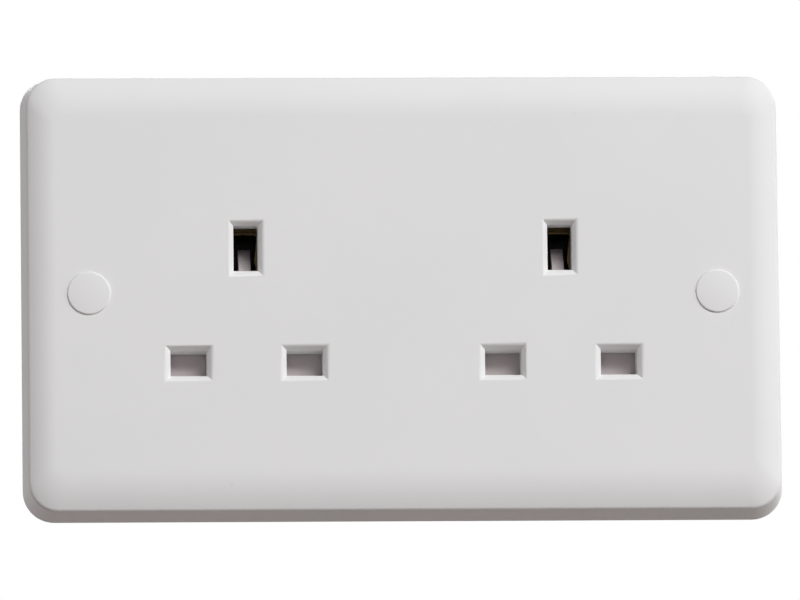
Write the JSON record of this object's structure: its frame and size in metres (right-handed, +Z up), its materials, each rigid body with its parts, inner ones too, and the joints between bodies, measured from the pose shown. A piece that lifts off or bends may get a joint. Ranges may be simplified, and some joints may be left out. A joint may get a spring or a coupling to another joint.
{
  "type": "unswitched wall socket",
  "caption": "Two-gang unswitched wall socket: a white moulded plate with a rounded edge, chamfered pin apertures, sprung shutters behind them and a rear housing with contacts and terminals.",
  "frame": {"origin": "centre of the plate's rim on the wall plane, midway between the two fixing holes", "axes": "+Z up, +X to the right seen from the front, +Y into the wall"},
  "size_m": [0.146, 0.0283, 0.086],
  "materials": {
    "white_moulding": "semi-gloss white moulding",
    "shutter_moulding": "satin white moulding",
    "dark_moulding": "matt dark moulding",
    "brass": "rolled brass",
    "spring_steel": "drawn wire",
    "plated_steel": "zinc plated"
  },
  "bodies": {
    "socket": {"front_plate": "white_moulding", "screw_cap_left": "white_moulding", "screw_cap_right": "white_moulding", "contact_cover": "dark_moulding", "rear_housing": "dark_moulding", "live_bar": "brass", "neutral_bar": "brass", "earth_bar": "brass", "live_clip_left": "brass", "live_clip_right": "brass", "neutral_clip_left": "brass", "neutral_clip_right": "brass", "earth_clip_left": "brass", "earth_clip_right": "brass", "live_terminal": "brass", "neutral_terminal": "brass", "earth_terminal_left": "brass", "earth_terminal_right": "brass", "housing_screws": "plated_steel"},
    "shutter_left": {"shutter_left": "shutter_moulding", "shutter_spring_left": "spring_steel"},
    "shutter_right": {"shutter_right": "shutter_moulding", "shutter_spring_right": "spring_steel"},
    "live_screw": {"live_terminal_screw": "plated_steel"},
    "neutral_screw": {"neutral_terminal_screw": "plated_steel"},
    "earth_screw_left": {"earth_terminal_screw_left": "plated_steel"},
    "earth_screw_right": {"earth_terminal_screw_right": "plated_steel"}
  },
  "joints": [
    {"name": "shutter_left_slide", "type": "slide", "parent": "socket", "child": "shutter_left", "axis": [0, 0, -1], "range_m": [0, 0.0055], "stiffness_N_per_m": 250, "springref_m": -0.004, "deforming": ["shutter_spring_left"]},
    {"name": "shutter_right_slide", "type": "slide", "parent": "socket", "child": "shutter_right", "axis": [0, 0, -1], "range_m": [0, 0.0055], "stiffness_N_per_m": 250, "springref_m": -0.004, "deforming": ["shutter_spring_right"]},
    {"name": "live_screw_travel", "type": "slide", "parent": "socket", "child": "live_screw", "axis": [0, -1, 0], "range_m": [0, 0.00362]},
    {"name": "neutral_screw_travel", "type": "slide", "parent": "socket", "child": "neutral_screw", "axis": [0, -1, 0], "range_m": [0, 0.00362]},
    {"name": "earth_screw_left_travel", "type": "slide", "parent": "socket", "child": "earth_screw_left", "axis": [0, -1, 0], "range_m": [0, 0.00362]},
    {"name": "earth_screw_right_travel", "type": "slide", "parent": "socket", "child": "earth_screw_right", "axis": [0, -1, 0], "range_m": [0, 0.00362]}
  ]
}
